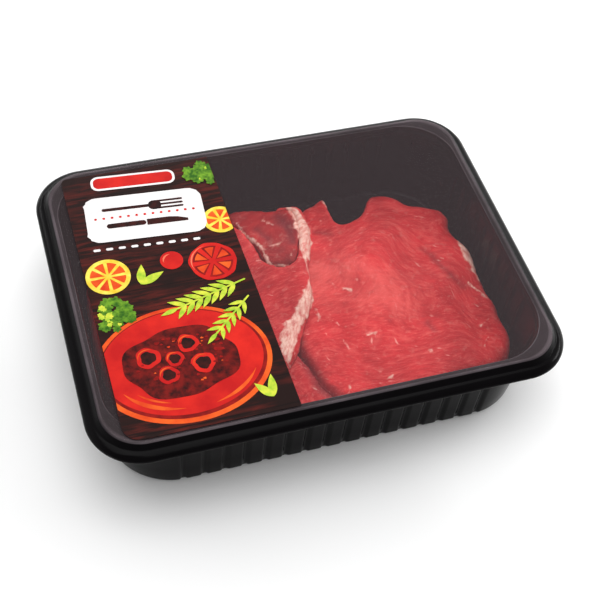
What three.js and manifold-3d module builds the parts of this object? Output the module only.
// A sealed tray pack of raw beef slices: a black thermoformed tray with a stepped rim and fluted
// walls, a clear lidding film over it, a printed label on the film, and four slices inside.
// Millimetres, +Z up. The origin is the middle of the tray's foot, with the long side along X.

import * as THREE from "three";
import { ConvexGeometry } from "three/addons/geometries/ConvexGeometry.js";
import { mergeVertices } from "three/addons/utils/BufferGeometryUtils.js";
import Module from "manifold-3d";

const wasm = await Module();
wasm.setup();

// Driving dimensions of the tray
const LENGTH = 227;
const WIDTH = 175;
const FLANGE_Z = 47.5;
const LIP_Z = 41.4;
const SHEET = 0.8;
const FOOT_RISE = 1.0;
const CORNER_STEPS = 8;

// The formed sheet in section. Inset is measured in from the outermost lip, and radius is the
// plan radius of the corners. The sealing flange's inner edge and the walls have a larger one
// than the rim, so the flange is widest at the corners. Cut is how far a corner is cut off flat.
const LEDGE_CUT = 1.3;
const WALL_TOP = { inset: 9.1, z: 43.3, radius: 27.5 };
const WALL_FOOT = { inset: 11.0, z: 2.2, radius: 31 };
const UNDERSIDE = [
  { inset: 27, z: FOOT_RISE, radius: 20 },
  { inset: 25, z: 0, radius: 21 },
  { inset: 13.0, z: 0, radius: 29.5 },
  { inset: 11.6, z: 0.6, radius: 30.6 },
  WALL_FOOT,
  WALL_TOP,
  { inset: 8.7, z: 44.2, radius: 26.3 },
  { inset: 8.5, z: FLANGE_Z - SHEET, radius: 26 },
  { inset: 7.0, z: FLANGE_Z - SHEET, radius: 18.2 },
  { inset: 4.7, z: 44.0, radius: 20.2 },
  { inset: 3.5, z: 43.7, radius: 20, cut: LEDGE_CUT },
  { inset: 1.9, z: 42.6, radius: 22.8 },
  { inset: 0.9, z: LIP_Z, radius: 24.1 },
];
const UPPER_SIDE = [
  { inset: 0, z: LIP_Z, radius: 25 },
  { inset: 0.2, z: 42.4, radius: 24.8 },
  { inset: 1.3, z: 43.6, radius: 23.4 },
  { inset: 3.1, z: 44.6, radius: 20, cut: LEDGE_CUT },
  { inset: 4.1, z: 44.8, radius: 20.6 },
  { inset: 6.3, z: 47.2, radius: 18.7 },
  { inset: 6.7, z: FLANGE_Z, radius: 18.3 },
  { inset: 9.4, z: FLANGE_Z, radius: 26 },
  { inset: 9.6, z: 44.9, radius: 26.5 },
  { inset: WALL_TOP.inset + SHEET, z: WALL_TOP.z + 0.7, radius: 27.3 },
  { inset: WALL_FOOT.inset + SHEET, z: WALL_FOOT.z + 0.4, radius: 30.5 },
  { inset: 12.6, z: 1.4, radius: 29.8 },
  { inset: 13.8, z: SHEET, radius: 28.8 },
  { inset: 24.6, z: SHEET, radius: 21 },
  { inset: 26.6, z: FOOT_RISE + SHEET, radius: 20 },
];

// Upright grooves pressed into the walls, between flutes that are flush with the plain corners.
const FLUTE_PITCH = 9.7;
const FLUTES_LONG_SIDE = 15;
const FLUTES_SHORT_SIDE = 9;
const GROOVE_DEPTH = 1.0;
const GROOVE_HALF_MOUTH = 1.9;
const GROOVE_HALF_BOTTOM = 0.8;
const GROOVE_TOP_Z = 41;
const GROOVE_RUN_IN = 3;

// Film and label
const FILM = { inset: 6.9, radius: 18.1, thickness: 0.2 };
const LABEL = {
  left: -98.8,
  rightAtFront: -20.5,
  rightAtBack: -24,
  front: -79.3,
  back: 77.2,
  frontRadius: 8,
  backRadius: 3,
  thickness: 0.15,
};
const SHEET_GAP = 0.3;

// Meat
const PIECE_GAP = 0.4;
const MEAT_FLOOR = FOOT_RISE + SHEET + PIECE_GAP;
const STEPS_PER_POINT = 2;

// A slice in section: share of the way out to its outline, and share of its thickness.
const SLICE_SECTION = [
  [0.6, 0],
  [0.9, 0.02],
  [0.975, 0.16],
  [1.0, 0.46],
  [0.99, 0.74],
  [0.96, 0.9],
  [0.91, 0.98],
  [0.8, 1],
  [0.55, 1],
  [0.27, 1],
];

// A closed solid from rings of equal length, with a point closing each end.
function solidFromRings(rings, firstPoint, lastPoint) {
  const count = rings[0].length;
  const positions = [firstPoint, ...rings.flat(), lastPoint].flat();
  const last = rings.length * count + 1;
  const at = (ring, i) => 1 + ring * count + (i % count);
  const faces = [];
  for (let i = 0; i < count; i++) {
    faces.push(0, at(0, i + 1), at(0, i));
    for (let ring = 0; ring + 1 < rings.length; ring++) {
      faces.push(at(ring, i), at(ring, i + 1), at(ring + 1, i));
      faces.push(at(ring, i + 1), at(ring + 1, i + 1), at(ring + 1, i));
    }
    faces.push(last, at(rings.length - 1, i), at(rings.length - 1, i + 1));
  }
  return new wasm.Manifold(
    new wasm.Mesh({
      numProp: 3,
      vertProperties: new Float32Array(positions),
      triVerts: new Uint32Array(faces),
    }),
  );
}

// A closed three.js geometry as a solid that can be joined and cut.
function solidFromGeometry(geometry) {
  const bare = geometry.clone();
  bare.deleteAttribute("normal");
  bare.deleteAttribute("uv");
  const merged = mergeVertices(bare, 1e-4);
  const index = merged.index.array;
  return new wasm.Manifold(
    new wasm.Mesh({
      numProp: 3,
      vertProperties: merged.attributes.position.array,
      triVerts: new Uint32Array(index),
    }),
  );
}

function geometryFromSolid(solid) {
  const { vertProperties, triVerts } = solid.getMesh();
  const geometry = new THREE.BufferGeometry();
  geometry.setAttribute("position", new THREE.BufferAttribute(vertProperties, 3));
  geometry.setIndex(new THREE.BufferAttribute(triVerts, 1));
  geometry.computeVertexNormals();
  return geometry;
}

// The rounded rectangle at one station of the tray's section, counter-clockwise.
function ringAt({ inset, z, radius, cut = 0 }) {
  const centreX = LENGTH / 2 - inset - radius;
  const centreY = WIDTH / 2 - inset - radius;
  const furthest = (centreX + centreY) * Math.SQRT1_2 + radius - cut;
  const ring = [];
  for (let quarter = 0; quarter < 4; quarter++) {
    const signX = quarter === 0 || quarter === 3 ? 1 : -1;
    const signY = quarter < 2 ? 1 : -1;
    for (let step = 0; step <= CORNER_STEPS; step++) {
      const angle = (quarter + step / CORNER_STEPS) * (Math.PI / 2);
      const x = signX * centreX + radius * Math.cos(angle);
      const y = signY * centreY + radius * Math.sin(angle);
      const over = Math.max(0, (Math.abs(x) + Math.abs(y)) * Math.SQRT1_2 - furthest);
      ring.push([x - signX * over * Math.SQRT1_2, y - signY * over * Math.SQRT1_2, z]);
    }
  }
  return ring;
}

function wallInset(z) {
  const share = (z - WALL_FOOT.z) / (WALL_TOP.z - WALL_FOOT.z);
  return WALL_FOOT.inset + share * (WALL_TOP.inset - WALL_FOOT.inset);
}

// A wedge along one groove, as a convex solid. Its mouth and bottom are given as half widths and
// as depths into the wall, and it runs from footZ up to where the groove dies out.
function grooveWedge(side, along, footZ, mouth, bottom) {
  const half = side % 2 === 0 ? WIDTH / 2 : LENGTH / 2;
  const turn = new THREE.Matrix4().makeRotationZ((side * Math.PI) / 2);
  const points = [];
  const addPair = (z, depth, halfWidth) => {
    for (const across of [-halfWidth, halfWidth]) {
      const reach = half - wallInset(z) - depth;
      points.push(new THREE.Vector3(along + across, -reach, z).applyMatrix4(turn));
    }
  };
  for (const z of [footZ, GROOVE_TOP_Z - GROOVE_RUN_IN]) {
    addPair(z, mouth.depth, mouth.half);
    addPair(z, bottom.depth, bottom.half);
  }
  addPair(GROOVE_TOP_Z, mouth.depth, mouth.half);
  return solidFromGeometry(new ConvexGeometry(points));
}

function allGrooves(footZ, mouth, bottom) {
  const made = [];
  for (let side = 0; side < 4; side++) {
    const flutes = side % 2 === 0 ? FLUTES_LONG_SIDE : FLUTES_SHORT_SIDE;
    for (let groove = 0; groove <= flutes; groove++) {
      const along = (groove - flutes / 2) * FLUTE_PITCH;
      made.push(grooveWedge(side, along, footZ, mouth, bottom));
    }
  }
  return wasm.Manifold.union(made);
}

function traySolid() {
  const stations = [...UNDERSIDE, ...UPPER_SIDE];
  const floorTop = [0, 0, FOOT_RISE + SHEET];
  const shell = solidFromRings(stations.map(ringAt), [0, 0, FOOT_RISE], floorTop);
  const backing = allGrooves(
    SHEET / 2,
    { depth: SHEET / 2, half: GROOVE_HALF_MOUTH + SHEET },
    { depth: SHEET + GROOVE_DEPTH, half: GROOVE_HALF_BOTTOM + SHEET },
  );
  const grooves = allGrooves(
    -1,
    { depth: -SHEET, half: GROOVE_HALF_MOUTH + SHEET },
    { depth: GROOVE_DEPTH, half: GROOVE_HALF_BOTTOM },
  );
  return shell.add(backing).subtract(grooves);
}

// The space inside the tray that the meat may fill, clear of the walls and flutes.
function cavitySolid() {
  const clear = SHEET + GROOVE_DEPTH + PIECE_GAP;
  const stations = [
    { inset: 26, z: MEAT_FLOOR - 0.05, radius: 20 },
    { inset: 15, z: MEAT_FLOOR - 0.05, radius: 28 },
    { inset: WALL_FOOT.inset + clear, z: 5, radius: 31 },
    { inset: WALL_TOP.inset + clear, z: 44, radius: 27 },
  ];
  const rings = stations.map(ringAt);
  return solidFromRings(rings, [0, 0, MEAT_FLOOR - 0.05], [0, 0, 44]);
}

// A flat sheet on four corners, each with its own radius, counter-clockwise from the front left.
function sheetWithCorners(corners, z, thickness) {
  const shape = new THREE.Shape();
  corners.forEach(([x, y, radius], i) => {
    const [beforeX, beforeY] = corners[(i + 3) % 4];
    const [afterX, afterY] = corners[(i + 1) % 4];
    const before = new THREE.Vector2(beforeX - x, beforeY - y).setLength(radius);
    const after = new THREE.Vector2(afterX - x, afterY - y).setLength(radius);
    const centreX = x + before.x + after.x;
    const centreY = y + before.y + after.y;
    for (let step = 0; step <= CORNER_STEPS; step++) {
      const angle = (step / CORNER_STEPS) * (Math.PI / 2);
      const pointX = centreX - after.x * Math.cos(angle) - before.x * Math.sin(angle);
      const pointY = centreY - after.y * Math.cos(angle) - before.y * Math.sin(angle);
      if (i === 0 && step === 0) shape.moveTo(pointX, pointY);
      else shape.lineTo(pointX, pointY);
    }
  });
  const options = { depth: thickness, bevelEnabled: false };
  return new THREE.ExtrudeGeometry(shape, options).translate(0, 0, z);
}

// Rise and fall of a slice's top: a slow wave across the grain, and dents at given places.
function surfaceWave(x, y, { wave, phase, dents }) {
  let rise = wave * (Math.sin(x / 13 + phase) * Math.cos(y / 17 - phase) + 0.5 * Math.sin(y / 8 + x / 21));
  for (const [dentX, dentY, reach, depth] of dents) {
    const away = ((x - dentX) ** 2 + (y - dentY) ** 2) / reach ** 2;
    rise -= depth * Math.exp(-away);
  }
  return rise;
}

// A slice of meat. Grow makes a copy that is larger all round, to cut a neighbour with.
function sliceSolid(slice, grow = 0) {
  const [centreX, centreY] = slice.centre;
  const curve = new THREE.CatmullRomCurve3(
    slice.outline.map(([x, y]) => new THREE.Vector3(x, y, 0)),
    true,
    "centripetal",
  );
  const outline = [];
  const steps = slice.outline.length * STEPS_PER_POINT;
  for (let i = 0; i < steps; i++) {
    outline.push(curve.getPoint(i / steps));
  }
  const heightAt = (x, y, share) => {
    const full = slice.thickness + surfaceWave(x, y, slice);
    return slice.bottom - grow + share * (full + 2 * grow);
  };
  const rings = SLICE_SECTION.map(([reach, share]) =>
    outline.map((point) => {
      const awayX = point.x - centreX;
      const awayY = point.y - centreY;
      const factor = reach * (1 + grow / Math.hypot(awayX, awayY));
      const x = centreX + awayX * factor;
      const y = centreY + awayY * factor;
      return [x, y, heightAt(x, y, share)];
    }),
  );
  const foot = [centreX, centreY, slice.bottom - grow];
  return solidFromRings(rings, foot, [centreX, centreY, heightAt(centreX, centreY, 1)]);
}

// The slices, in the order that they were laid: each later one is shaped by those before it.
// An outline goes counter-clockwise, and a dent is x, y, reach and depth.
const SLICES = {
  slice_large: {
    centre: [36, -8],
    bottom: MEAT_FLOOR,
    thickness: 21.5,
    wave: 0.9,
    phase: 0.4,
    dents: [
      [76, 3, 9, 2.6],
      [58, 42, 12, 2.2],
      [90, 22, 10, 2.0],
      [96, -40, 12, 3.0],
    ],
    outline: [
      [57, 51], [52, 45], [45, 41.8], [39, 41.2], [35.6, 45.5], [35.3, 54], [35, 61], [32.5, 60],
      [27, 54.5], [14, 40], [3, 20], [-4, 0], [-9, -20], [-8, -34], [-5, -46], [-3, -57],
      [2, -66], [14, -70], [35, -71], [60, -69.5], [83, -66],
      [92, -62], [98, -55], [102, -43], [100.5, -35], [101, -28], [98.5, -21.5],
      [99.5, -12], [99.5, -1], [101, 8], [97.5, 17], [96.5, 27], [98.5, 32], [96.5, 39.5],
      [80.5, 46], [75, 53], [67.5, 57], [61, 56.5],
    ],
  },
  slice_under: {
    centre: [-35, -48],
    bottom: MEAT_FLOOR,
    thickness: 20.5,
    wave: 0.6,
    phase: 1.7,
    dents: [],
    outline: [
      [-4, -34], [-14, -27], [-40, -26], [-70, -32], [-84, -46], [-78, -62], [-50, -71],
      [-20, -72], [4, -70], [10, -60], [6, -46],
    ],
  },
  slice_marbled: {
    centre: [-2, 36],
    bottom: 13,
    thickness: 16,
    wave: 0.7,
    phase: 0.9,
    dents: [],
    outline: [
      [13, 50], [4, 52], [-6, 55], [-14, 56], [-20, 54], [-20, 47], [-15, 42.5],
      [-13.5, 37.5], [-10.5, 31], [-9.5, 22], [-7, 15.5], [0, 12.5], [7, 15.5], [12, 27], [15, 40],
    ],
  },
  slice_left: {
    centre: [-38, -2],
    bottom: MEAT_FLOOR,
    thickness: 27,
    wave: 1.0,
    phase: 2.6,
    dents: [
      [0, -30, 12, 1.5],
      [-4, 34, 14, 2.4],
    ],
    outline: [
      [21, 52], [10, 55.5], [3, 50], [-6, 51], [-14, 52], [-42, 61], [-72, 58], [-93, 42],
      [-99, 14], [-99, -22], [-92, -52], [-70, -64], [-42, -65], [-24, -57], [-14, -46],
      [-7, -38], [4, -20], [10.5, -6], [12.5, 2], [15.5, 14], [20, 27], [22.5, 37],
    ],
  },
};

function material(colour, roughness, metalness = 0) {
  return new THREE.MeshStandardMaterial({ color: colour, roughness, metalness });
}

function namedMesh(name, geometry, finish) {
  const mesh = new THREE.Mesh(geometry, finish);
  mesh.name = name;
  return mesh;
}

const pack = new THREE.Group();
pack.add(namedMesh("tray", geometryFromSolid(traySolid()), material(0x1c191b, 0.35)));

const filmZ = FLANGE_Z + SHEET_GAP;
const filmX = LENGTH / 2 - FILM.inset;
const filmY = WIDTH / 2 - FILM.inset;
const filmCorners = [
  [-filmX, -filmY, FILM.radius],
  [filmX, -filmY, FILM.radius],
  [filmX, filmY, FILM.radius],
  [-filmX, filmY, FILM.radius],
];
const filmFinish = material(0xeceff0, 0.08);
filmFinish.transparent = true;
filmFinish.opacity = 0.2;
const film = sheetWithCorners(filmCorners, filmZ, FILM.thickness);
pack.add(namedMesh("lidding_film", film, filmFinish));

const labelZ = filmZ + FILM.thickness + SHEET_GAP;
const labelCorners = [
  [LABEL.left, LABEL.front, LABEL.frontRadius],
  [LABEL.rightAtFront, LABEL.front, 0.5],
  [LABEL.rightAtBack, LABEL.back, 0.5],
  [LABEL.left, LABEL.back, LABEL.backRadius],
];
const label = sheetWithCorners(labelCorners, labelZ, LABEL.thickness);
pack.add(namedMesh("label", label, material(0x5a1512, 0.4)));

const cavity = cavitySolid();
const cutters = [];
for (const [name, slice] of Object.entries(SLICES)) {
  let solid = sliceSolid(slice).intersect(cavity);
  for (const cutter of cutters) {
    solid = solid.subtract(cutter);
  }
  // A sliver that a neighbour cuts loose is dropped, and the slice is the largest body left.
  const [largest] = solid.decompose().sort((a, b) => b.volume() - a.volume());
  pack.add(namedMesh(name, geometryFromSolid(largest), material(0xc2363a, 0.45)));
  cutters.push(sliceSolid(slice, PIECE_GAP));
}

export default pack;
